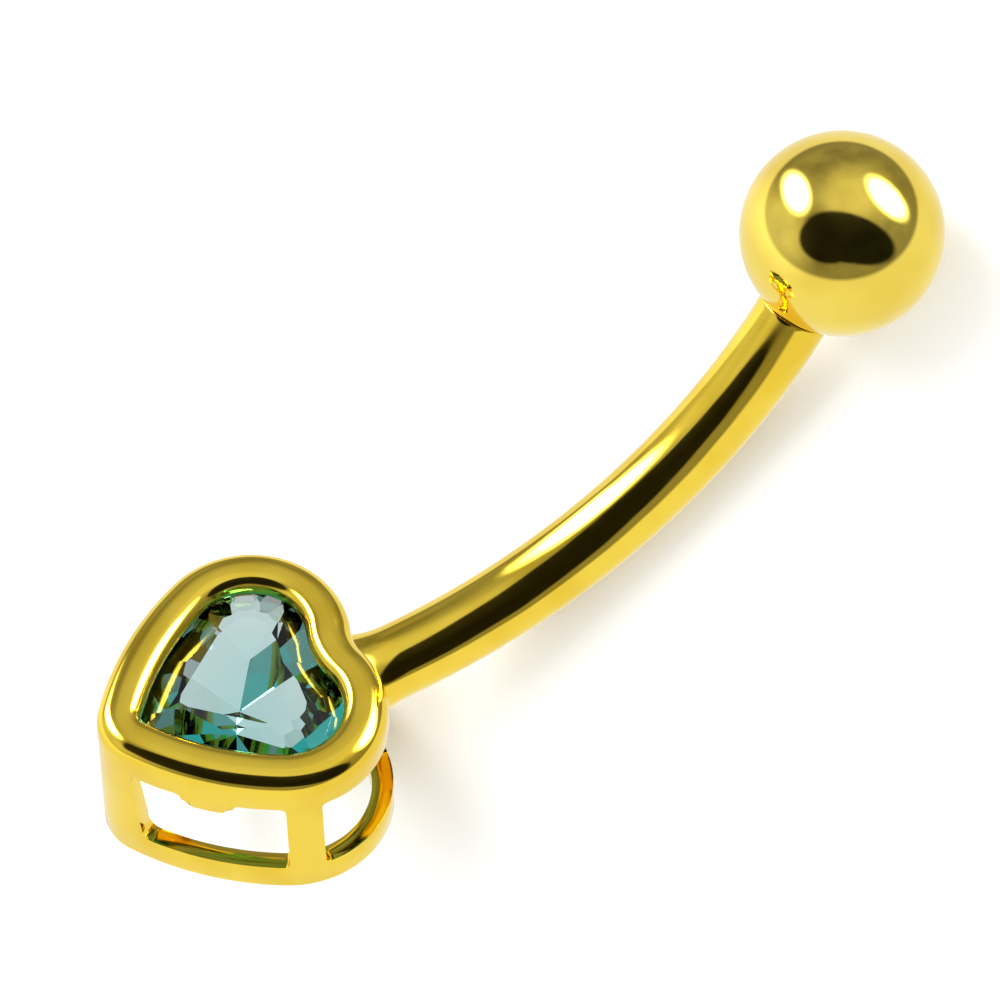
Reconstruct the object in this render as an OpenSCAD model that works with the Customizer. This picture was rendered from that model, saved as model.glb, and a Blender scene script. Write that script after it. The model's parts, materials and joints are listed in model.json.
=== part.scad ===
// Navel ring: a curved bar with a heart-shaped stone setting soldered to its lower end
// and a plain ball screwed on its upper end. Sizes are in millimetres.
// The pieces are drawn in the setting's own frame: the heart's tip points to -X, the bar
// leaves its cleft along +X and curves up, and the stone faces +Z. lie_down() then turns
// the finished ring so that it lies on a table as it would by itself.

/* [Heart setting] */
// Length of the heart outside, from its tip to the top of its lobes
heart_l = 5.97; // [5.6:0.01:6.6]
// Width of the heart outside, across both lobes
heart_w = 6.29; // [6:0.01:6.8]
// Radius of each lobe outside
lobe_r = 2.16; // [2.05:0.01:2.4]
// Radius of the rounded tip outside
tip_r = 1.17; // [1.05:0.01:1.4]
// Radius of the nearly straight sides outside
side_r = 6.94; // [6:0.01:9]
// Radius of the hollow between the lobes outside
cleft_r = 1.03; // [0.8:0.01:1.6]
// Height of the setting, from its open back to the top of the rim
setting_h = 3.75; // [3.5:0.01:4.2]
// Thickness of the rail and the posts
wall_t = 0.46; // [0.36:0.01:0.56]

/* [Rim] */
// Radius of the rim's outer shoulder
shoulder_r = 0.45; // [0.3:0.01:0.5]
// Radius of the rim's lip round the stone
lip_r = 0.3; // [0.25:0.01:0.34]
// Width of the rim seen from the front, from the outside to the edge of the lip
rim_w = 0.95; // [0.9:0.01:1.05]
// Height of the closed collar, from the top of the rim down to the windows
collar_h = 0.9; // [0.85:0.01:1.1]

/* [Gallery] */
// Height of the rail round the open back
rail_h = 0.66; // [0.45:0.01:0.9]
// Width of the post on the side of each lobe
post_w = 0.78; // [0.5:0.01:1.1]
// Width of the post that wraps the tip
tip_post_w = 1.84; // [1.5:0.01:2.6]
// Width of the post behind the bar
cleft_post_w = 2.1; // [1.8:0.01:2.6]
// Width of each side window, from the tip post to the lobe post
side_window_w = 3.4; // [2.8:0.01:3.8]
// Width of the tab that hangs in the middle of each side window
tab_w = 1.15; // [0.6:0.01:1.8]
// Height of that tab
tab_h = 0.33; // [0.15:0.01:0.5]

/* [Stone] */
// How far the lip reaches over the edge of the stone
stone_hold = 0.15; // [0.08:0.01:0.2]
// Thickness of the stone's girdle
girdle_t = 0.1; // [0.05:0.01:0.16]
// Height of the stone's crown, from the girdle to the table
crown_h = 0.48; // [0.35:0.01:0.52]
// Width of the crown, from the girdle to the table
crown_w = 0.82; // [0.6:0.01:1]
// Slope of the stone's pavilion below the girdle, in degrees
pavilion_slope = 40; // [34:0.5:42]
// Thickness of the seat under the stone, at its inner edge
seat_t = 0.2; // [0.12:0.01:0.4]
// Gap between the stone and the metal that holds it
stone_gap = 0.04; // [0.03:0.005:0.06]

/* [Bar] */
// Diameter of the bar
bar_d = 1.6; // [1.2:0.05:1.7]
// Length of the bar along its middle, from the setting to the ball
bar_len = 12.5; // [10:0.1:14]
// Radius of the bar's bend along its middle
bend_r = 14.7; // [12:0.1:18]
// Slope at which the bar leaves the setting, in degrees
bar_slope = 2.4; // [0:0.1:8]
// Height of the bar's middle above the back of the setting, where it leaves the wall
bar_z = 2.06; // [1.7:0.01:2.2]
// How far the plane of the bar's bend leans to one side, as it was soldered, in degrees
bar_lean = 14; // [0:0.5:18]
// How deep the bar's end sits in the setting's wall
bar_root = 0.2; // [0.1:0.01:0.4]

/* [Ball] */
// Diameter of the ball
ball_d = 4.34; // [3.5:0.01:5]
// Diameter of the plain post on the bar's end that the ball goes on
post_d = 1.1; // [0.8:0.01:1.15]
// Length of that post
post_len = 2.6; // [2:0.05:2.8]
// Gap all round between the post and the ball's hole
post_gap = 0.04; // [0.02:0.005:0.06]
// Gap between the bar's end and the ball
seat_gap = 0.03; // [0.02:0.005:0.06]

/* [Hidden] */
$fn = 96;
bit = 0.2;
far = 20;

// Outside of the heart: one half is a tip arc, a side arc and a lobe arc, and half of the
// cleft's arc joins it to the other half. Angles are those of the wall's outward normal.
lobe_c = [0, heart_w / 2 - lobe_r];
tip_c = [lobe_r + tip_r - heart_l, 0];
side_c = third_point(lobe_c, side_r - lobe_r, tip_c, side_r - tip_r);
cleft_c = [sqrt(pow(lobe_r + cleft_r, 2) - pow(lobe_c.y, 2)), 0];
tip_turn = heading(side_c, tip_c);
side_turn = heading(side_c, lobe_c);
lobe_turn = heading(lobe_c, cleft_c);
// Each row: centre, radius (less than 0 for a hollow), first normal, last normal, and the
// largest turn between two flats of the wall
ARCS = [
    [tip_c, tip_r, 180, tip_turn, 9],
    [side_c, side_r, tip_turn, side_turn, 6],
    [lobe_c, lobe_r, side_turn, lobe_turn, 9],
    [cleft_c, -cleft_r, lobe_turn, 0, 9],
];
// Flats round the rim's shoulder and round its lip
shoulder_flats = 6;
lip_flats = 8;
half_run = length_before(len(ARCS));
// Each place along one half of the outside, from the tip to the cleft: its arc and normal
PLACES = concat(
    [for (g = ARCS) let (n = ceil(abs(g[3] - g[2]) / g[4]))
        for (i = [0 : n - 1]) [g, g[2] + (g[3] - g[2]) * i / n]],
    [[ARCS[3], ARCS[3][3]]]
);
cleft_x = cleft_c.x - cleft_r;
collar_z = setting_h - collar_h;
tab_at = (tip_post_w + side_window_w) / 2;
// Flats along a window's edge, and how far its cut goes past the inside of the wall
window_flat = 0.3;
window_past = 0.03;

// Stone, measured inward from the outside of the heart and up from the setting's back
girdle_in = rim_w - stone_hold;
crown_slope = atan(crown_h / crown_w);
lip_in = rim_w - lip_r;
lip_z = setting_h - lip_r;
lip_rise = (lip_r + stone_gap - (girdle_in - lip_in) * sin(crown_slope)) / cos(crown_slope);
crown_z = lip_z - lip_rise;
table_z = crown_z + crown_h;
girdle_z = crown_z - girdle_t;
groove_in = girdle_in - stone_gap;
seat_z = girdle_z - stone_gap - (rim_w - groove_in) * tan(pavilion_slope);
// Outward normals of the main facets on one half of the stone, from the tip to the cleft
MAIN_TURNS = [160, 137, 122, 98, 72, 45, 18, -10];
// Outward normals of the smaller facets between them
HALF_TURNS = [for (i = [0 : len(MAIN_TURNS) - 2]) (MAIN_TURNS[i] + MAIN_TURNS[i + 1]) / 2];
half_extra = 8;
star_less = 13;
star_in = 0.1;
pavilion_extra = 2.5;

// Bar: its bend lies in a plane that leans to one side about the way out of the cleft. A point
// of that plane is given by its X and its height above the bar's root.
BAR_UP = [0, sin(bar_lean), cos(bar_lean)];
bend_c = [cleft_x - bend_r * sin(bar_slope), bend_r * cos(bar_slope)];
root_slope = bar_slope - degrees(bar_root / bend_r);
end_slope = bar_slope + degrees(bar_len / bend_r);
bar_end = on_bend(end_slope);
ball_seat = sqrt(pow(ball_d, 2) - pow(bar_d, 2)) / 2;
ball_off = ball_seat + seat_gap;
ball_c = bar_end + ball_off * [cos(end_slope), sin(end_slope)];

// The ring lies on the lower edge of one lobe, on the belly of the bar and on the ball
LIE = settle([-21, 26], 8);
lie_yaw = -plan_heading(LIE);
LOW = -reach([0, 0, -1]);
MID_X = (reach([1, 0, 0]) - reach([-1, 0, 0])) / 2;
MID_Y = (reach([0, 1, 0]) - reach([0, -1, 0])) / 2;

function degrees(turns) = turns * 180 / PI;
function heading(from, to) = atan2(to.y - from.y, to.x - from.x);
// Point at distance ra from a and rb from b, on the right of the way from b to a
function third_point(a, ra, b, rb) =
    let (d = norm(b - a), u = (b - a) / d, k = (ra * ra - rb * rb + d * d) / (2 * d))
    a + k * u + sqrt(ra * ra - k * k) * [-u.y, u.x];
function arc_run(g) = abs(g[1] * (g[3] - g[2])) * PI / 180;
function length_before(n) = n == 0 ? 0 : arc_run(ARCS[n - 1]) + length_before(n - 1);
function on_bend(slope) = bend_c + bend_r * [sin(slope), -cos(slope)];
function leaned(p) = [p.x, 0, bar_z] + p.y * BAR_UP;
// Point of the heart's outside at a place, moved inward
function spot(place, inward) =
    let (g = place[0]) g[0] + (g[1] - inward) * [cos(place[1]), sin(place[1])];
// Place whose outward normal is turned by angle a, and the place at a length from the tip
function facing(a) = [ARCS[a > tip_turn ? 0 : a > side_turn ? 1 : 2], a];
function place_at(run) =
    let (
        i = max([for (k = [0 : len(ARCS) - 1]) run < length_before(k) ? 0 : k]),
        g = ARCS[i]
    )
    [g, g[2] + sign(g[3] - g[2]) * degrees((run - length_before(i)) / abs(g[1]))];
function flipped(p) = [p.x, -p.y];
function backward(list) = [for (i = [len(list) - 1 : -1 : 0]) list[i]];
// Closed outline of the heart, moved inward, from the tip round by the +Y side
function outline(inward) =
    let (half = [for (p = PLACES) spot(p, inward)], last = len(half) - 1)
    concat(half, [for (i = [last - 1 : -1 : 1]) flipped(half[i])]);

// Reach of each rounded place in direction n, for the lying ring
function ball_reach(n) = n * leaned(ball_c) + ball_d / 2;
function belly_reach(n) = n * leaned(bend_c) + bend_r * norm([n.x, n * BAR_UP]) + bar_d / 2;
function edge_reach(n, c, r, z) = n * [c.x, c.y, z] + r * norm([n.x, n.y]);
function rim_reach(n, c, r) =
    edge_reach(n, c, r - shoulder_r, setting_h - shoulder_r) + shoulder_r;
function lobe_edge(n) = edge_reach(n, lobe_c, lobe_r, 0);
// Downward direction in the setting's frame once it is rolled and pitched
function down(lie) = [sin(lie[1]), -cos(lie[1]) * sin(lie[0]), -cos(lie[1]) * cos(lie[0])];
function lean(lie) =
    let (n = down(lie))
    [belly_reach(n) - lobe_edge(n), ball_reach(n) - lobe_edge(n)];
// Newton's steps to the roll and pitch at which all three places touch the table
function settle(lie, steps) =
    steps == 0 ? lie :
    let (
        f = lean(lie),
        h = 0.01,
        fa = (lean(lie + [h, 0]) - f) / h,
        fb = (lean(lie + [0, h]) - f) / h,
        det = fa[0] * fb[1] - fb[0] * fa[1],
        da = (f[0] * fb[1] - fb[0] * f[1]) / det,
        db = (fa[0] * f[1] - f[0] * fa[1]) / det
    )
    settle(lie - [da, db], steps - 1);
function turned(v, a, b, c) =
    let (
        x = v.x,
        y = v.y * cos(a) - v.z * sin(a),
        z = v.y * sin(a) + v.z * cos(a),
        p = x * cos(b) + z * sin(b),
        q = z * cos(b) - x * sin(b)
    )
    [p * cos(c) - y * sin(c), p * sin(c) + y * cos(c), q];
function plan_heading(lie) =
    let (v = turned(leaned(ball_c) - [0, 0, setting_h / 2], lie[0], lie[1], 0))
    atan2(v.y, v.x);
// Direction of the table's frame, seen in the setting's frame
function unturned(v) =
    [for (e = [[1, 0, 0], [0, 1, 0], [0, 0, 1]]) v * turned(e, LIE[0], LIE[1], lie_yaw)];
function reach(v) =
    let (n = unturned(v), other = [lobe_c.x, -lobe_c.y])
    max(
        ball_reach(n),
        edge_reach(n, lobe_c, lobe_r, 0),
        edge_reach(n, other, lobe_r, 0),
        edge_reach(n, tip_c, tip_r, 0),
        rim_reach(n, lobe_c, lobe_r),
        rim_reach(n, other, lobe_r),
        rim_reach(n, tip_c, tip_r)
    );

module lie_down() {
    translate([-MID_X, -MID_Y, -LOW]) rotate([LIE[0], LIE[1], lie_yaw]) children();
}

module both_halves() {
    children();
    mirror([0, 1, 0]) children();
}

// Wall, rim and seat in section, as depth inward and height. The section has a round
// shoulder outside, a round lip over the stone, and a seat that slopes with its pavilion.
function section() =
    let (under = acos((groove_in - lip_in) / lip_r))
    concat(
        [[0, 0]],
        [for (i = [0 : shoulder_flats]) let (a = 90 * i / shoulder_flats)
            [shoulder_r - shoulder_r * cos(a), setting_h - shoulder_r + shoulder_r * sin(a)]],
        [for (i = [0 : lip_flats]) let (a = 90 - (90 + under) * i / lip_flats)
            [lip_in + lip_r * cos(a), lip_z + lip_r * sin(a)]],
        [
            [groove_in, girdle_z - stone_gap],
            [rim_w, seat_z],
            [rim_w, seat_z - seat_t],
            [wall_t, seat_z - seat_t],
            [wall_t, 0],
        ]
    );

// Sweeps the section once round the heart
module ring() {
    rows = section();
    loops = [for (p = rows) outline(p[0])];
    n = len(loops[0]);
    m = len(rows);
    points = [for (j = [0 : m - 1]) for (p = loops[j]) [p.x, p.y, rows[j][1]]];
    faces = [for (j = [0 : m - 1]) for (i = [0 : n - 1])
        let (up = (j + 1) % m * n, next = (i + 1) % n)
        [j * n + i, j * n + next, up + next, up + i]];
    polyhedron(points, faces);
}

// Takes away the wall between two lengths from the tip and between two heights
module window(from, to, z_a, z_b) {
    n = ceil((to - from) / window_flat);
    places = [for (i = [0 : n]) place_at(from + (to - from) * i / n)];
    outer = [for (p = places) spot(p, -bit)];
    inner = [for (p = places) spot(p, wall_t + window_past)];
    translate([0, 0, z_a]) linear_extrude(z_b - z_a) polygon(concat(outer, backward(inner)));
}

module setting() {
    side_from = tip_post_w / 2;
    side_to = side_from + side_window_w;
    tab_z = collar_z - tab_h;
    difference() {
        ring();
        both_halves() {
            window(side_from, side_to, rail_h, tab_z);
            window(side_from, tab_at - tab_w / 2, tab_z - bit, collar_z);
            window(tab_at + tab_w / 2, side_to, tab_z - bit, collar_z);
            window(side_to + post_w, half_run - cleft_post_w / 2, rail_h, collar_z);
        }
    }
}

module lean_over() {
    translate([0, 0, bar_z]) rotate([-bar_lean, 0, 0]) children();
}

module along_end(distance) {
    lean_over() translate([bar_end.x, 0, bar_end.y]) rotate([0, 90 - end_slope, 0])
        translate([0, 0, distance]) children();
}

module curved_bar() {
    lean_over() translate([bend_c.x, 0, bend_c.y]) rotate([90, 0, 0])
        rotate([0, 0, root_slope - 90]) rotate_extrude(angle = end_slope - root_slope)
            translate([bend_r, 0]) circle(d = bar_d);
    along_end(-bit) cylinder(h = post_len + bit, d = post_d);
}

module bar_and_setting() {
    color("gold") lie_down() {
        setting();
        curved_bar();
    }
}

// Outline of one half of the stone at its girdle
function half_outline() = [for (p = PLACES) spot(p, girdle_in)];

// Cuts away all that lies above a facet, or below it if side is -1. The facet's plane has
// the given outward normal and slope, and passes the heart's outside at a depth and height.
module facet(turn, slope, inward, z, side) {
    p = spot(facing(turn), inward);
    translate([p.x, p.y, z]) rotate([0, 0, turn]) rotate([0, side * slope, 0])
        translate([-far / 2, -far / 2, side > 0 ? 0 : -far]) cube(far);
}

module half_stone() {
    low = girdle_z - heart_w * tan(pavilion_slope) / 2;
    difference() {
        translate([0, 0, low]) linear_extrude(table_z - low) polygon(half_outline());
        for (a = MAIN_TURNS) {
            facet(a, crown_slope, girdle_in, crown_z, 1);
            facet(a, pavilion_slope, girdle_in, girdle_z, -1);
        }
        for (a = HALF_TURNS) {
            facet(a, crown_slope + half_extra, girdle_in, crown_z, 1);
            facet(a, crown_slope - star_less, girdle_in + crown_w + star_in, table_z, 1);
            facet(a, pavilion_slope + pavilion_extra, girdle_in, girdle_z, -1);
        }
    }
}

module heart_stone() {
    color("lightblue") lie_down() both_halves() hull() half_stone();
}

module screw_ball() {
    bore = post_d + 2 * post_gap;
    depth = post_len + 2 * seat_gap;
    color("gold") lie_down() along_end(ball_off) difference() {
        sphere(d = ball_d);
        translate([0, 0, -ball_seat - bit]) cylinder(h = bit, d = ball_d);
        translate([0, 0, -ball_seat - bit]) cylinder(h = depth + bit, d = bore);
    }
}

bar_and_setting();
heart_stone();
screw_ball();
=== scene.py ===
"""Navel ring in polished yellow gold: a heart-shaped setting with a pale blue stone, a curved bar and a ball.

Pieces are modelled in millimetres in the setting's own frame, as on a jeweller's bench: the
heart's tip points to -X, the bar leaves its cleft along +X and the stone faces +Z. Each is
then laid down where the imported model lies.
"""
import json
import math

import bpy
from mathutils import Matrix, Vector


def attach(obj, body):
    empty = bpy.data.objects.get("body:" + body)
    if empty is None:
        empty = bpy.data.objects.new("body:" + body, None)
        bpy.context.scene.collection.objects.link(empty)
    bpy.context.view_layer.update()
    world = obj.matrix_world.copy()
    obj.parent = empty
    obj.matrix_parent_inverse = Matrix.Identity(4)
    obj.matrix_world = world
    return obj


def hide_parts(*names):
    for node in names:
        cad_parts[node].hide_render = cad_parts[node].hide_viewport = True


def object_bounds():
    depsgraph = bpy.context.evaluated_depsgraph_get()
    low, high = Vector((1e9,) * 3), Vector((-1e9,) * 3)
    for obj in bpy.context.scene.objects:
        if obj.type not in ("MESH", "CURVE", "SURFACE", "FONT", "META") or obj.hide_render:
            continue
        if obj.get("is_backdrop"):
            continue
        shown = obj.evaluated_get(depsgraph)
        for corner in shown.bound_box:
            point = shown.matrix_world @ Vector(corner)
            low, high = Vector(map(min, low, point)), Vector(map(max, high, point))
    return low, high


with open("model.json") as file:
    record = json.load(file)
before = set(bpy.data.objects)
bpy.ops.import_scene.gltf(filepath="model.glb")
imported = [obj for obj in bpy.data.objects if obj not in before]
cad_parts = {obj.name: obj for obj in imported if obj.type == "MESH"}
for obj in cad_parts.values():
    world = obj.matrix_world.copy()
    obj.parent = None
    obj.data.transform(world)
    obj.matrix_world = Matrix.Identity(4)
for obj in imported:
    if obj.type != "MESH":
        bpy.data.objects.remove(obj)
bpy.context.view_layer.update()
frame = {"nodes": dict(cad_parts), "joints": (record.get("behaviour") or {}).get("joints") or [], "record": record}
bpy.ops.object.select_all(action="DESELECT")

# Heart setting
# The real setting is one casting in yellow gold: a rim rounded outside and rolled over the
# stone inside, a seat under the stone, and posts and windows down to a flat rail round the
# open back. The casting is filed, its edges are broken and it is polished.
heart_l, heart_w, setting_h = 5.97, 6.29, 3.75
tip_r, side_r, lobe_r, cleft_r = 1.17, 6.94, 2.16, 1.03
wall_t, rim_w, shoulder_r, lip_r = 0.46, 0.95, 0.45, 0.3
rail_h, collar_h, tab_h, tab_w = 0.66, 0.9, 0.33, 1.15
tip_post_w, side_window_w, post_w, cleft_post_w = 1.84, 3.4, 0.78, 2.1
groove_in, groove_z, seat_z, seat_bottom_z = 0.76, 3.0, 2.84, 2.66
lip_under = 68.5
corner_r, low_corner_r = 0.13, 0.34
slant_low, slant_tab, slant_high, slant_reach = 0.13, -0.072, -0.12, 0.5
tab_slope_from, tab_slope_to = 0.2, -0.2
inner_slide, rail_fall = -0.1, -0.12
shoulder_flats, lip_flats, flat_l = 10, 14, 0.08
edge_round, round_flats = 0.05, 3
sharp_turn, smooth_turn = math.radians(40), math.radians(35)
merge_l, near_l, upright_z = 0.0005, 0.01, 0.1
gold_yellow, gold_deep = (0.96, 0.7, 0.075), (0.88, 0.61, 0.05)

collar_z = setting_h - collar_h
tab_z = collar_z - tab_h
tip_x = lobe_r - heart_l
lobe_c = Vector((0, heart_w / 2 - lobe_r, 0))
tip_c = Vector((tip_x + tip_r, 0, 0))
cleft_c = Vector((math.sqrt((lobe_r + cleft_r) ** 2 - lobe_c.y ** 2), 0, 0))
cleft_x = cleft_c.x - cleft_r


def heading(start, end):
    """Direction from one centre to another in plan, in degrees."""
    return math.degrees(math.atan2(end.y - start.y, end.x - start.x))


# The long side's arc touches the tip's arc and the lobe's from inside
between = lobe_c - tip_c
from_tip = ((side_r - tip_r) ** 2 - (side_r - lobe_r) ** 2 + between.length ** 2) / (2 * between.length)
aside = math.sqrt((side_r - tip_r) ** 2 - from_tip ** 2)
side_c = tip_c + from_tip * between.normalized() + aside * Vector((between.y, -between.x, 0)).normalized()
tip_turn, side_turn, lobe_turn = heading(side_c, tip_c), heading(side_c, lobe_c), heading(lobe_c, cleft_c)
half_arcs = [
    (tip_c, tip_r, 180 - tip_turn),
    (side_c, side_r, tip_turn - side_turn),
    (lobe_c, lobe_r, side_turn - lobe_turn),
    (cleft_c, cleft_r, lobe_turn),
]
half_run = sum(radius * math.radians(abs(turn)) for _, radius, turn in half_arcs)

mounts = {m["name"]: m for m in frame["record"]["mounts"]}
face_up = -Vector(mounts["setting_back"]["axis"]).normalized()
bend_side = Vector(mounts["piercing"]["axis"]).cross(Vector(frame["joints"][0]["axis"]))
tip_to_cleft = face_up.cross(bend_side).normalized()
sideways = face_up.cross(tip_to_cleft)
rail_middle_x = tip_x + wall_t / 2
bench_axes = Matrix((tip_to_cleft, sideways, face_up)).transposed().to_4x4()
bench_place = Vector(mounts["setting_back"]["pos_m"]) - rail_middle_x * 0.001 * tip_to_cleft
lie = Matrix.Translation(bench_place) @ bench_axes @ Matrix.Scale(0.001, 4)


def work_on(piece):
    """Makes a piece the only one selected, and the active one."""
    if bpy.context.object and bpy.context.object.mode != "OBJECT":
        bpy.ops.object.mode_set(mode="OBJECT")
    bpy.ops.object.select_all(action="DESELECT")
    piece.select_set(True)
    bpy.context.view_layer.objects.active = piece


def lay_down(piece):
    """Moves a finished piece from the bench, in millimetres, to where the ring lies, in metres."""
    work_on(piece)
    piece.matrix_world = lie @ piece.matrix_world
    bpy.ops.object.transform_apply(location=True, rotation=True, scale=True)


def add_modifier(piece, kind, **settings):
    """Adds a modifier with its settings and applies it."""
    work_on(piece)
    modifier = piece.modifiers.new(kind.title(), kind)
    for setting, value in settings.items():
        setattr(modifier, setting, value)
    bpy.ops.object.modifier_apply(modifier=modifier.name)


def pick(piece, kind, wanted):
    """Selects the vertices, edges or faces whose middle wanted() accepts, and stays in edit mode."""
    work_on(piece)
    bpy.ops.object.mode_set(mode="EDIT")
    bpy.ops.mesh.select_mode(type=kind)
    bpy.ops.mesh.select_all(action="DESELECT")
    bpy.ops.object.mode_set(mode="OBJECT")
    mesh = piece.data
    if kind == "VERT":
        for vertex in mesh.vertices:
            vertex.select = wanted(vertex.index, vertex.co)
    elif kind == "FACE":
        for face in mesh.polygons:
            face.select = wanted(face.index, face.center)
    else:
        for edge in mesh.edges:
            a, b = (mesh.vertices[v].co for v in edge.vertices)
            edge.select = wanted((a, b), (a + b) / 2)
    bpy.ops.object.mode_set(mode="EDIT")


def draw_outline(name, corners):
    """A closed outline in the plane through the tip, drawn by extruding one point from corner to corner."""
    bpy.ops.mesh.primitive_plane_add(size=0.01, location=corners[0])
    piece = bpy.context.object
    piece.name = name
    bpy.ops.object.transform_apply(location=True)
    bpy.ops.object.mode_set(mode="EDIT")
    bpy.ops.mesh.merge(type="CENTER")
    for start, end in zip(corners, corners[1:] + corners[:1]):
        bpy.ops.mesh.extrude_region_move(TRANSFORM_OT_translate={"value": end - start})
    bpy.ops.mesh.select_all(action="SELECT")
    bpy.ops.mesh.remove_doubles(threshold=merge_l)
    bpy.ops.mesh.select_all(action="SELECT")
    return piece


def arc_of(inward, height, radius, start, end, flats):
    """Points of an arc in section, as depth inward and height. Angle 0 is inward and 90 is up."""
    turns = [math.radians(start + (end - start) * i / flats) for i in range(flats + 1)]
    return [(inward + radius * math.cos(t), height + radius * math.sin(t)) for t in turns]


section = [(0, 0), (0, rail_h), (0, tab_z), (0, collar_z)]
section += arc_of(shoulder_r, setting_h - shoulder_r, shoulder_r, 180, 90, shoulder_flats)
section += arc_of(rim_w - lip_r, setting_h - lip_r, lip_r, 90, -lip_under, lip_flats)
section += [(groove_in, groove_z), (rim_w, seat_z), (rim_w, seat_bottom_z)]
section += [(wall_t, seat_bottom_z), (wall_t, tab_z), (wall_t, rail_h), (wall_t, 0)]
setting = draw_outline("heart_setting", [Vector((tip_x + inward, 0, height)) for inward, height in section])

side_from, side_to = tip_post_w / 2, tip_post_w / 2 + side_window_w
tab_from = (side_from + side_to - tab_w) / 2
tab_to = tab_from + tab_w
lobe_from, lobe_to = side_to + post_w, half_run - cleft_post_w / 2
# Where each row of a window's corners starts, which way its edge runs from there, and its radius
lobe_corners = [(lobe_from, 1, corner_r), (lobe_to, -1, corner_r)]
low_corners = [(side_from, 1, low_corner_r), (side_to, -1, corner_r)] + lobe_corners
tab_corners = [(tab_from, 1, corner_r), (tab_to, -1, corner_r)]
high_corners = [(side_from, 1, corner_r), (tab_from, -1, corner_r)]
high_corners += [(tab_to, 1, corner_r), (side_to, -1, corner_r)] + lobe_corners
corner_cuts = [1 - math.sin(math.radians(22.5 * i)) for i in range(4)]
stops = [side_from, tab_from, tab_to, side_to, lobe_from, lobe_to]
for at, way, radius in low_corners + tab_corners + high_corners:
    stops += [at + way * radius * share for share in corner_cuts]
stops = sorted(set(stops))
stretches = []
run = 0
for centre, radius, turn in half_arcs:
    length = radius * math.radians(abs(turn))
    cuts = [run] + [s for s in stops if run < s < run + length] + [run + length]
    for start, end in zip(cuts, cuts[1:]):
        faces_before = len(setting.data.polygons)
        bpy.ops.mesh.spin(
            steps=math.ceil((end - start) / flat_l), angle=math.radians(turn) * (end - start) / length,
            center=centre, axis=(0, 0, 1))
        setting.update_from_editmode()
        stretches.append(((start + end) / 2, faces_before, len(setting.data.polygons)))
    run += length


def place_of(point):
    """Centre and radius of the wall's arc at a point, and the length along the wall from the tip."""
    turn = heading(side_c, point)
    (_, _, tip_part), (_, _, side_part) = half_arcs[:2]
    if turn > tip_turn:
        return tip_c, tip_r, math.radians(180 - abs(heading(tip_c, point))) * tip_r
    tip_run = math.radians(tip_part) * tip_r
    if turn > side_turn:
        return side_c, side_r, tip_run + math.radians(tip_turn - turn) * side_r
    run = tip_run + math.radians(side_part) * side_r
    return lobe_c, lobe_r, run + math.radians(side_turn - heading(lobe_c, point)) * lobe_r


# The windows are sawn through the wall, and the tab is left standing in the side window
open_faces = set()
low_strip = (rail_h + tab_z) / 2
high_strips = ((tab_z + collar_z) / 2, (tab_z + seat_bottom_z) / 2)
bpy.ops.object.mode_set(mode="OBJECT")
for middle, first, last in stretches:
    in_side = side_from < middle < side_to
    in_lobe = lobe_from < middle < lobe_to
    beside_tab = not tab_from < middle < tab_to
    for face in setting.data.polygons[first:last]:
        upright = abs(face.normal.z) < upright_z
        low = abs(face.center.z - low_strip) < near_l
        high = any(abs(face.center.z - strip) < near_l for strip in high_strips)
        if upright and (in_side or in_lobe) and (low or (high and beside_tab)):
            open_faces.add(face.index)
pick(setting, "FACE", lambda index, middle: index in open_faces)
bpy.ops.mesh.delete(type="FACE")
for window_side in (-1, 1):
    bpy.ops.object.mode_set(mode="OBJECT")
    uses = [0] * len(setting.data.edges)
    keys = {edge.key: edge.index for edge in setting.data.edges}
    for face in setting.data.polygons:
        for key in face.edge_keys:
            uses[keys[key]] += 1
    open_edges = {edge.key for edge in setting.data.edges if uses[edge.index] == 1}
    corner_of = {tuple(v.co): v.index for v in setting.data.vertices}
    pick(setting, "EDGE", lambda ends, middle: abs(middle.y) > merge_l
         and window_side * (place_of(middle)[2] - side_to - post_w / 2) > 0
         and tuple(sorted(corner_of[tuple(end)] for end in ends)) in open_edges)
    bpy.ops.mesh.bridge_edge_loops()


def rounded(run, corners):
    """How far round corners lift a window's edge at a length along the wall."""
    lifts = [0]
    for at, way, radius in corners:
        past = way * (run - at)
        if -radius < past <= 0:
            lifts.append(radius + past)
        elif 0 < past < radius:
            lifts.append(radius - math.sqrt(radius ** 2 - (radius - past) ** 2))
    return max(lifts)


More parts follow.
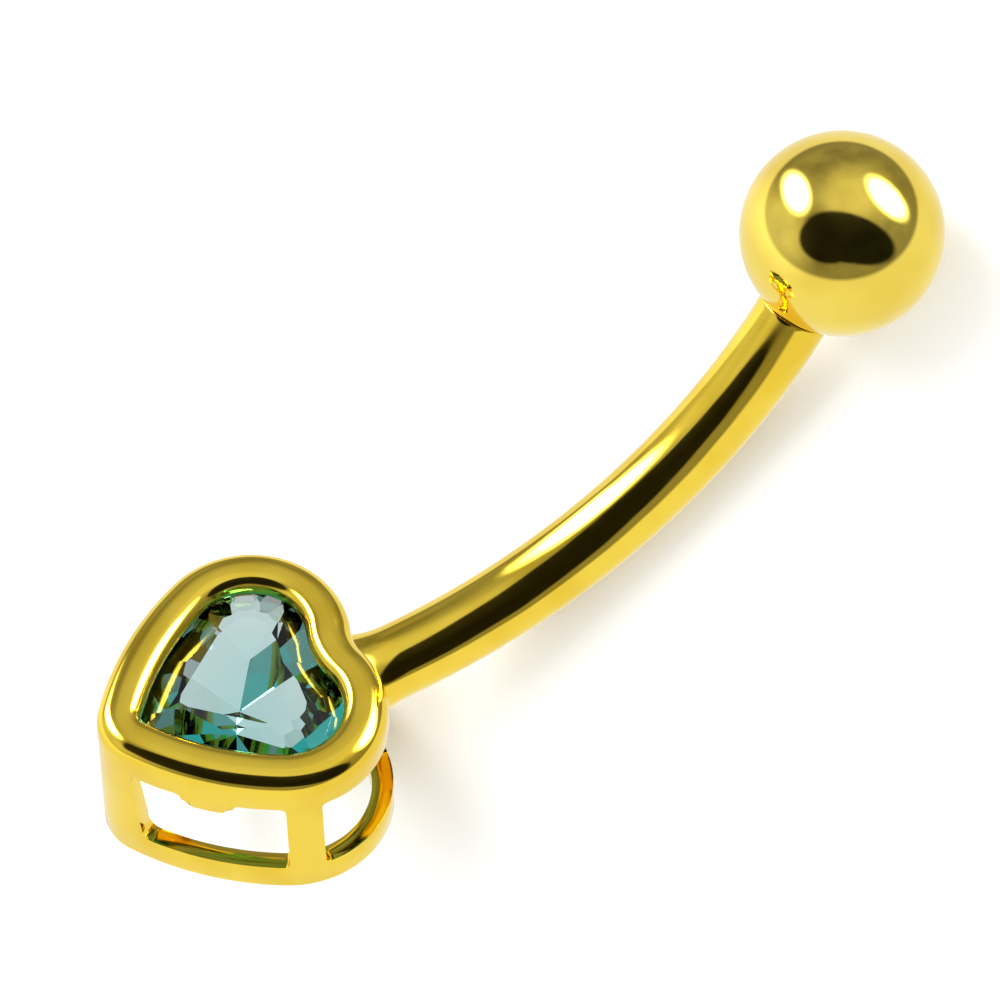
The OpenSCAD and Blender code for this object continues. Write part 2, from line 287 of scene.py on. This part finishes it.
# The corners are filed round, the ends next to the tip slope, and so do the tab's sides
bpy.ops.object.mode_set(mode="OBJECT")
nudges = {}
for vertex in setting.data.vertices:
    centre, radius, run = place_of(vertex.co)
    spoke = (vertex.co - centre).to_2d()
    at_outside = abs(radius - spoke.length) < merge_l
    at_inside = abs(radius - spoke.length - wall_t) < merge_l
    slope_end = max(0, 1 - abs(run - side_from) / slant_reach)
    if not (at_outside or at_inside):
        continue
    if abs(vertex.co.z - rail_h) < merge_l:
        row, slide, lift = "low", slant_low * slope_end, rounded(run, low_corners)
        if at_inside and (side_from < run < side_to or lobe_from < run < lobe_to):
            lift += rail_fall
    elif abs(vertex.co.z - tab_z) < merge_l and tab_from - merge_l < run < tab_to + merge_l:
        share = (run - tab_from) / tab_w
        slope = tab_slope_from * (1 - share) + tab_slope_to * share
        row, slide, lift = "tab", slope, rounded(run, tab_corners)
    elif abs(vertex.co.z - tab_z) < merge_l:
        row, slide, lift = "tab", slant_tab * slope_end, 0
    elif abs(vertex.co.z - (collar_z if at_outside else seat_bottom_z)) < merge_l:
        row, slide, lift = "high", slant_high * slope_end, -rounded(run, high_corners)
    else:
        continue
    if at_inside:
        slide += inner_slide * slope_end
    if abs(slide) + abs(lift) > merge_l:
        move = slide * Vector((spoke.y, -spoke.x, 0)).normalized() + Vector((0, 0, lift))
        nudges.setdefault((row, at_inside, round(run, 3)), (move, set()))[1].add(vertex.index)
for move, group in nudges.values():
    pick(setting, "VERT", lambda index, at: index in group)
    bpy.ops.transform.translate(value=move)
add_modifier(setting, "MIRROR", use_axis=(False, True, False), merge_threshold=merge_l)
work_on(setting)
bpy.ops.object.mode_set(mode="EDIT")
bpy.ops.mesh.select_all(action="SELECT")
bpy.ops.mesh.remove_doubles(threshold=merge_l)
bpy.ops.mesh.normals_make_consistent(inside=False)
add_modifier(
    setting, "BEVEL", width=edge_round, segments=round_flats, limit_method="ANGLE", angle_limit=sharp_turn)
bpy.ops.object.shade_smooth_by_angle(angle=smooth_turn)


def polished_gold(name, wave_mm, wave_depth, roughness, yellow=gold_yellow, deep=gold_deep):
    """Yellow gold from the polishing wheel: faint waves, fine scratches and a warmer tone in patches."""
    material = bpy.data.materials.new(name)
    material.use_nodes = True
    tree = material.node_tree
    shader = tree.nodes["Principled BSDF"]
    shader.inputs["Metallic"].default_value = 1
    place = tree.nodes.new("ShaderNodeTexCoord")
    patch_per_mm, gloss_per_mm, scratch_per_mm = 0.6, 2.5, 9
    wave_strength, scratch_strength, scratch_depth, scratch_run = 0.5, 0.25, 0.001, (0.2, 1, 1)

    def noise(per_mm, detail, stretch=(1, 1, 1)):
        mapping = tree.nodes.new("ShaderNodeMapping")
        mapping.inputs["Scale"].default_value = [1000 * per_mm * s for s in stretch]
        texture = tree.nodes.new("ShaderNodeTexNoise")
        texture.inputs["Scale"].default_value = 1
        texture.inputs["Detail"].default_value = detail
        tree.links.new(place.outputs["Object"], mapping.inputs["Vector"])
        tree.links.new(mapping.outputs["Vector"], texture.inputs["Vector"])
        return texture.outputs["Fac"]

    tone = tree.nodes.new("ShaderNodeValToRGB")
    tone.color_ramp.elements[0].position, tone.color_ramp.elements[1].position = 0.35, 0.6
    tone.color_ramp.elements[0].color, tone.color_ramp.elements[1].color = (*deep, 1), (*yellow, 1)
    tree.links.new(noise(patch_per_mm, 2), tone.inputs["Fac"])
    tree.links.new(tone.outputs["Color"], shader.inputs["Base Color"])
    gloss = tree.nodes.new("ShaderNodeMapRange")
    gloss.inputs["From Min"].default_value, gloss.inputs["From Max"].default_value = 0.3, 0.75
    gloss.inputs["To Min"].default_value, gloss.inputs["To Max"].default_value = roughness
    tree.links.new(noise(gloss_per_mm, 4), gloss.inputs["Value"])
    tree.links.new(gloss.outputs["Result"], shader.inputs["Roughness"])
    waves, scratches = tree.nodes.new("ShaderNodeBump"), tree.nodes.new("ShaderNodeBump")
    waves.inputs["Distance"].default_value = 0.001 * wave_depth
    waves.inputs["Strength"].default_value = wave_strength
    scratches.inputs["Distance"].default_value = 0.001 * scratch_depth
    scratches.inputs["Strength"].default_value = scratch_strength
    tree.links.new(noise(1 / wave_mm, 1), waves.inputs["Height"])
    tree.links.new(noise(scratch_per_mm, 3, scratch_run), scratches.inputs["Height"])
    tree.links.new(waves.outputs["Normal"], scratches.inputs["Normal"])
    tree.links.new(scratches.outputs["Normal"], shader.inputs["Normal"])
    return material


setting.data.materials.append(polished_gold("setting_gold", 1.4, 0.05, (0.05, 0.13)))
lay_down(setting)
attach(setting, "ring")
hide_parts("bar_and_setting")

# Curved bar
# The real bar is drawn gold wire, 1.6 mm thick, bent to an even curve. Its lower end is
# soldered into the cleft of the heart, and a thinner post on its upper end takes the ball.
bar_d, bar_len, bend_r, bar_slope, bar_z, bar_root = 1.6, 12.5, 14.7, 2.4, 2.06, 0.2
bar_lean, bar_round = 14, 0.02
post_d, post_len = 1.1, 2.6
solder_l, solder_h, solder_rings = 1.15, 0.26, 14
wire_flats, bend_flats = 96, 120
root_slope = bar_slope - math.degrees(bar_root / bend_r)
end_slope = bar_slope + math.degrees(bar_len / bend_r)
bend_start = math.radians(bar_slope)
bend_c = Vector((cleft_x - bend_r * math.sin(bend_start), 0, bend_r * math.cos(bend_start)))
lean_over = Matrix.Translation((0, 0, bar_z)) @ Matrix.Rotation(-math.radians(bar_lean), 4, "X")


def on_bend(slope):
    """Point on the bar's middle line where it climbs at that slope, and its direction there."""
    s = math.radians(slope)
    return bend_c + bend_r * Vector((math.sin(s), 0, -math.cos(s))), Vector((math.cos(s), 0, math.sin(s)))


bar_start, start_way = on_bend(root_slope)
bar_end, end_way = on_bend(end_slope)
bpy.ops.mesh.primitive_circle_add(
    vertices=wire_flats, radius=bar_d / 2 + solder_h, location=bar_start,
    rotation=(0, math.radians(90 - root_slope), 0))
bar = bpy.context.object
bar.name = "curved_bar"
bpy.ops.object.transform_apply(location=True, rotation=True)
bpy.ops.object.mode_set(mode="EDIT")
bpy.ops.mesh.select_all(action="SELECT")
solder_turn = math.degrees(solder_l / bend_r) / solder_rings
wire_r = bar_d / 2 + solder_h
for ring in range(1, solder_rings + 1):
    next_r = bar_d / 2 + solder_h * (1 - ring / solder_rings) ** 2
    bpy.ops.mesh.spin(steps=1, angle=math.radians(solder_turn), center=bend_c, axis=(0, 1, 0))
    bpy.ops.transform.resize(
        value=[next_r / wire_r] * 3, center_override=on_bend(root_slope + ring * solder_turn)[0])
    wire_r = next_r
bend_from = root_slope + solder_rings * solder_turn
bpy.ops.mesh.spin(
    steps=bend_flats, angle=math.radians(end_slope - bend_from), center=bend_c, axis=(0, 1, 0))
bpy.ops.mesh.edge_face_add()
bpy.ops.mesh.inset(thickness=(bar_d - post_d) / 2)
bpy.ops.mesh.extrude_region_move(TRANSFORM_OT_translate={"value": end_way * post_len})
pick(bar, "EDGE", lambda ends, middle: (middle - bar_start).length < bar_d and all(
    abs((end - bar_start).dot(start_way)) < merge_l for end in ends))
bpy.ops.mesh.edge_face_add()
bpy.ops.mesh.select_all(action="SELECT")
bpy.ops.mesh.normals_make_consistent(inside=False)
add_modifier(
    bar, "BEVEL", width=bar_round, segments=round_flats, limit_method="ANGLE", angle_limit=sharp_turn)
bpy.ops.object.shade_smooth_by_angle(angle=smooth_turn)
bar.data.materials.append(polished_gold("bar_gold", 2.2, 0.06, (0.05, 0.11)))
bar.matrix_world = lean_over
lay_down(bar)
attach(bar, "ring")
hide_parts("bar_and_setting")

# Screw ball
# The real ball is a turned and polished gold sphere with a flat and a tapped hole at the
# bar. It stands a hair off the bar's end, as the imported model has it.
ball_d, ball_round, post_gap, seat_gap = 4.34, 0.012, 0.04, 0.03
ball_flats, ball_rings = 144, 96
ball_yellow, ball_deep = (0.95, 0.73, 0.12), (0.88, 0.65, 0.09)
ball_seat = math.sqrt(ball_d ** 2 - bar_d ** 2) / 2
bore_depth = post_len + 2 * seat_gap
bpy.ops.mesh.primitive_uv_sphere_add(segments=ball_flats, ring_count=ball_rings, radius=ball_d / 2)
ball = bpy.context.object
ball.name = "ball"
bpy.ops.object.mode_set(mode="EDIT")
bpy.ops.mesh.select_all(action="SELECT")
bpy.ops.mesh.bisect(plane_co=(0, 0, -ball_seat), plane_no=(0, 0, -1), use_fill=True, clear_outer=True)
pick(ball, "FACE", lambda index, middle: middle.z < -ball_seat + merge_l)
bpy.ops.mesh.inset(thickness=bar_d / 2 - post_d / 2 - post_gap)
bpy.ops.mesh.extrude_region_move(TRANSFORM_OT_translate={"value": (0, 0, bore_depth)})
bpy.ops.mesh.select_all(action="SELECT")
bpy.ops.mesh.normals_make_consistent(inside=False)
add_modifier(ball, "BEVEL", width=ball_round, segments=2, limit_method="ANGLE", angle_limit=sharp_turn)
bpy.ops.object.shade_smooth_by_angle(angle=smooth_turn)
ball.matrix_world = (lean_over @ Matrix.Translation(bar_end + (ball_seat + seat_gap) * end_way)
                     @ Matrix.Rotation(math.radians(90 - end_slope), 4, "Y"))
bpy.ops.object.transform_apply(location=True, rotation=True)
ball.data.materials.append(polished_gold("ball_gold", 3.0, 0.03, (0.04, 0.09), ball_yellow, ball_deep))
lay_down(ball)
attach(ball, "ball")
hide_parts("screw_ball")

# Heart stone
# The real stone is a heart-cut synthetic gem in pale aqua, with a table, a crown and a
# pavilion of flat facets.
stone = frame["nodes"]["heart_stone"]
aqua = bpy.data.materials.new("aqua_gem")
aqua.use_nodes = True
cut = aqua.node_tree.nodes["Principled BSDF"]
cut.inputs["Base Color"].default_value = (0.97, 1, 1, 1)
cut.inputs["Roughness"].default_value = 0
cut.inputs["IOR"].default_value = 1.6
cut.inputs["Transmission Weight"].default_value = 1
cut.inputs["Specular IOR Level"].default_value = 0.25
body = aqua.node_tree.nodes.new("ShaderNodeVolumeAbsorption")
body.inputs["Color"].default_value = (0, 0.83, 0.8, 1)
body.inputs["Density"].default_value = 240
aqua.node_tree.links.new(body.outputs["Volume"], aqua.node_tree.nodes["Material Output"].inputs["Volume"])
stone.data.materials.clear()
stone.data.materials.append(aqua)

# Floor, light and camera
# The camera stands where it stood for the photograph, seen from the ring, 400 mm away. The
# ring lies on white paper in a light tent, laid out by what the polished ball mirrors of it.
photo_turn, photo_tilt, photo_roll, photo_far, photo_field = 19.5, 56.0, 4.4, 400, 21.186
photo_aim = (4.782, 5.619)
turn, tilt, roll = (math.radians(a) for a in (photo_turn, photo_tilt, photo_roll))
level = Vector((math.cos(turn), -math.sin(turn), 0))
ahead = Vector((math.sin(turn), math.cos(turn), 0))
rise = ahead * math.sin(tilt) + Vector((0, 0, math.cos(tilt)))
view_right = math.cos(roll) * level - math.sin(roll) * rise
view_up = math.sin(roll) * level + math.cos(roll) * rise
view_back = Vector((0, 0, math.sin(tilt))) - ahead * math.cos(tilt)
eye = photo_far * view_back
aim = photo_aim[0] * view_right + photo_aim[1] * view_up
back = (eye - aim).normalized()
right = view_up.cross(back).normalized()
look = Matrix((right, back.cross(right), back)).transposed().to_4x4()
camera = bpy.data.objects.new("camera", bpy.data.cameras.new("camera"))
bpy.context.scene.collection.objects.link(camera)
camera.matrix_world = Matrix.Translation(lie @ eye) @ bench_axes @ look
camera.data.sensor_width = 36
camera.data.lens = camera.data.sensor_width * (eye - aim).length / photo_field
camera.data.clip_start, camera.data.clip_end = 0.05, 10
bpy.context.scene.camera = camera

bpy.ops.mesh.primitive_plane_add(size=6)
floor = bpy.context.object
floor.name = "floor"
paper = bpy.data.materials.new("white_paper")
paper.use_nodes = True
paper.node_tree.nodes["Principled BSDF"].inputs["Base Color"].default_value = (0.84, 0.84, 0.84, 1)
paper.node_tree.nodes["Principled BSDF"].inputs["Roughness"].default_value = 0.7
floor.data.materials.append(paper)
floor.visible_glossy = False
floor.visible_transmission = False
floor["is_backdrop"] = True


def toward(x, y, z):
    """Direction in the room of a direction seen from the camera: right, up and towards it."""
    return (bench_axes.to_3x3() @ (x * view_right + y * view_up + z * view_back)).normalized()


room = bpy.data.worlds.new("studio")
bpy.context.scene.world = room
room.use_nodes = True
sky = room.node_tree
surface = sky.nodes["Background"]
look_way = sky.nodes.new("ShaderNodeTexCoord")


def vector_node(operation, a, b):
    """A vector operation of the room's light on two directions, each a socket or plain numbers."""
    node = sky.nodes.new("ShaderNodeVectorMath")
    node.operation = operation
    for socket, value in zip(node.inputs, (a, b)):
        if isinstance(value, bpy.types.NodeSocket):
            sky.links.new(value, socket)
        else:
            socket.default_value = value
    return node


def number_node(operation, *values):
    """A number worked out in the room's light, from sockets or plain numbers."""
    node = sky.nodes.new("ShaderNodeMath")
    node.operation = operation
    for socket, value in zip(node.inputs, values):
        if isinstance(value, bpy.types.NodeSocket):
            sky.links.new(value, socket)
        else:
            socket.default_value = value
    return node.outputs[0]


def fade(value, start, end, low, high):
    """Goes softly from low to high while the value goes from start to end."""
    node = sky.nodes.new("ShaderNodeMapRange")
    node.interpolation_type = "SMOOTHSTEP"
    for socket, number in zip(("From Min", "From Max", "To Min", "To Max"), (start, end, low, high)):
        node.inputs[socket].default_value = number
    sky.links.new(value, node.inputs["Value"])
    return node.outputs["Result"]


# The ball mirrors a direction of the room where its surface faces halfway towards the camera
way = look_way.outputs["Generated"]
between_ways = vector_node("ADD", way, toward(0, 0, 1)).outputs[0]
half_way = vector_node("NORMALIZE", between_ways, (0, 0, 0)).outputs[0]
ball_x = vector_node("DOT_PRODUCT", half_way, toward(1, 0, 0)).outputs["Value"]
ball_y = vector_node("DOT_PRODUCT", half_way, toward(0, 1, 0)).outputs["Value"]


def times(a, b):
    """The product of two numbers of the room's light."""
    return number_node("MULTIPLY", a, b)


def oval(x, y, half_w, half_h, tilt_deg, inside, soft, outside):
    """An oval card of the studio, placed as the ball mirrors it."""
    c, s = math.cos(math.radians(tilt_deg)), math.sin(math.radians(tilt_deg))
    dx, dy = number_node("SUBTRACT", ball_x, x), number_node("SUBTRACT", ball_y, y)
    u = number_node("ADD", times(dx, c / half_w), times(dy, s / half_w))
    v = number_node("SUBTRACT", times(dy, c / half_h), times(dx, s / half_h))
    far = number_node("SQRT", number_node("ADD", times(u, u), times(v, v)))
    return fade(far, 1 - soft, 1 + soft, inside, outside)


def cards(operation, rows, soft, outside):
    """Oval cards joined by one operation, a row for each."""
    joined = oval(*rows[0], soft, outside)
    for row in rows[1:]:
        joined = number_node(operation, joined, oval(*row, soft, outside))
    return joined


# Columns: right and up of the ball's middle, half width and height, tilt, and light inside
glow_rows = [(0.09, 0.33, 0.33, 0.26, 0, 0.5), (-0.6, 0.08, 0.22, 0.4, 20, 0.44)]
dark_rows = [
    (0.06, -0.06, 0.46, 0.23, -18, 0.05),
    (-0.13, -0.06, 0.3, 0.25, 0, 0.05),
    (0.02, -0.1, 0.42, 0.2, -8, 0.05),
]
lamp_rows = [(-0.45, 0.385, 0.11, 0.18, 12, 1), (0.42, 0.33, 0.22, 0.1, -48, 1)]
soft_edge, dark_edge = 0.6, 0.08
paper_glow, tent_glow, cloud_scale, cloud_detail, cloud_depth = 0.95, 0.28, 4.5, 2, 1.4
paper_edge, cloud_edge, teal_edge = (-0.05, 0.06), (0, 0.3), (0.5, 0.85)
lamp_glow, lamp_falloff, stone_glow, room_glow = 30.0, 2.0, 0.75, 0.85
side_grey, upward_teal = (0.42, 0.36, 0.34, 1), (0.14, 0.57, 0.56, 1)

# The tent stands square to the bench: pale paper below its level, a dimmer cloth above
bench_up = bench_axes.to_3x3() @ Vector((0, 0, 1))
above_bench = vector_node("DOT_PRODUCT", way, bench_up).outputs["Value"]
clouds = sky.nodes.new("ShaderNodeTexNoise")
clouds.inputs["Scale"].default_value, clouds.inputs["Detail"].default_value = cloud_scale, cloud_detail
sky.links.new(half_way, clouds.inputs["Vector"])
cloudy = fade(above_bench, *cloud_edge, 0, cloud_depth)
uneven = times(number_node("SUBTRACT", clouds.outputs["Fac"], 0.5), cloudy)
tent = times(fade(above_bench, *paper_edge, paper_glow, tent_glow), number_node("ADD", uneven, 1.0))
lit = number_node("ADD", tent, cards("ADD", glow_rows, soft_edge, 0))
studio = times(lit, cards("MINIMUM", dark_rows, dark_edge, 1))
path = sky.nodes.new("ShaderNodeLightPath")
off_facet = number_node("SUBTRACT", 1.0, path.outputs["Is Singular Ray"])
lamp_ovals = number_node("POWER", cards("ADD", lamp_rows, soft_edge, 0), lamp_falloff)
lamps = times(lamp_ovals, off_facet)
studio = number_node("ADD", studio, times(lamps, lamp_glow))


def blend(share, low, high):
    """One number at share 0 and the other at share 1 or more."""
    node = sky.nodes.new("ShaderNodeMix")
    sky.links.new(share, node.inputs["Factor"])
    sky.links.new(low, node.inputs["A"])
    node.inputs["B"].default_value = high
    return node.outputs["Result"]


# The gold mirrors the studio, while the camera, the paper and the stone get an even light
through_stone = path.outputs["Transmission Depth"]
plain = number_node("MAXIMUM", path.outputs["Is Camera Ray"], path.outputs["Diffuse Depth"])
sky.links.new(blend(plain, blend(through_stone, studio, stone_glow), room_glow), surface.inputs["Strength"])
facet_glow, tint = sky.nodes.new("ShaderNodeMix"), sky.nodes.new("ShaderNodeMix")
facet_glow.data_type = tint.data_type = "RGBA"
facet_glow.inputs["A"].default_value, facet_glow.inputs["B"].default_value = side_grey, upward_teal
sky.links.new(fade(above_bench, *teal_edge, 0, 1), facet_glow.inputs["Factor"])
tint.inputs["A"].default_value = (1, 1, 1, 1)
sky.links.new(facet_glow.outputs["Result"], tint.inputs["B"])
mirrored_once = number_node("MINIMUM", path.outputs["Glossy Depth"], 1.0)
sky.links.new(times(through_stone, mirrored_once), tint.inputs["Factor"])
sky.links.new(tint.outputs["Result"], surface.inputs["Color"])

# A large soft lamp at the upper left of the picture gives the faint shadow its side
key_far, key_size, key_power = 0.25, 0.12, 0.22
key = bpy.data.objects.new("key", bpy.data.lights.new("key", "AREA"))
bpy.context.scene.collection.objects.link(key)
key_way = toward(-0.55, 0.45, 0.7)
key.location = lie @ Vector((4, 0, 2)) + key_far * key_way
key.rotation_euler = key_way.to_track_quat("Z", "Y").to_euler()
key.data.size, key.data.energy = key_size, key_power
key.visible_glossy = False

bpy.context.scene.view_settings.view_transform = "Standard"

# Sizes
# The dressed ring's box.
low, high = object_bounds()
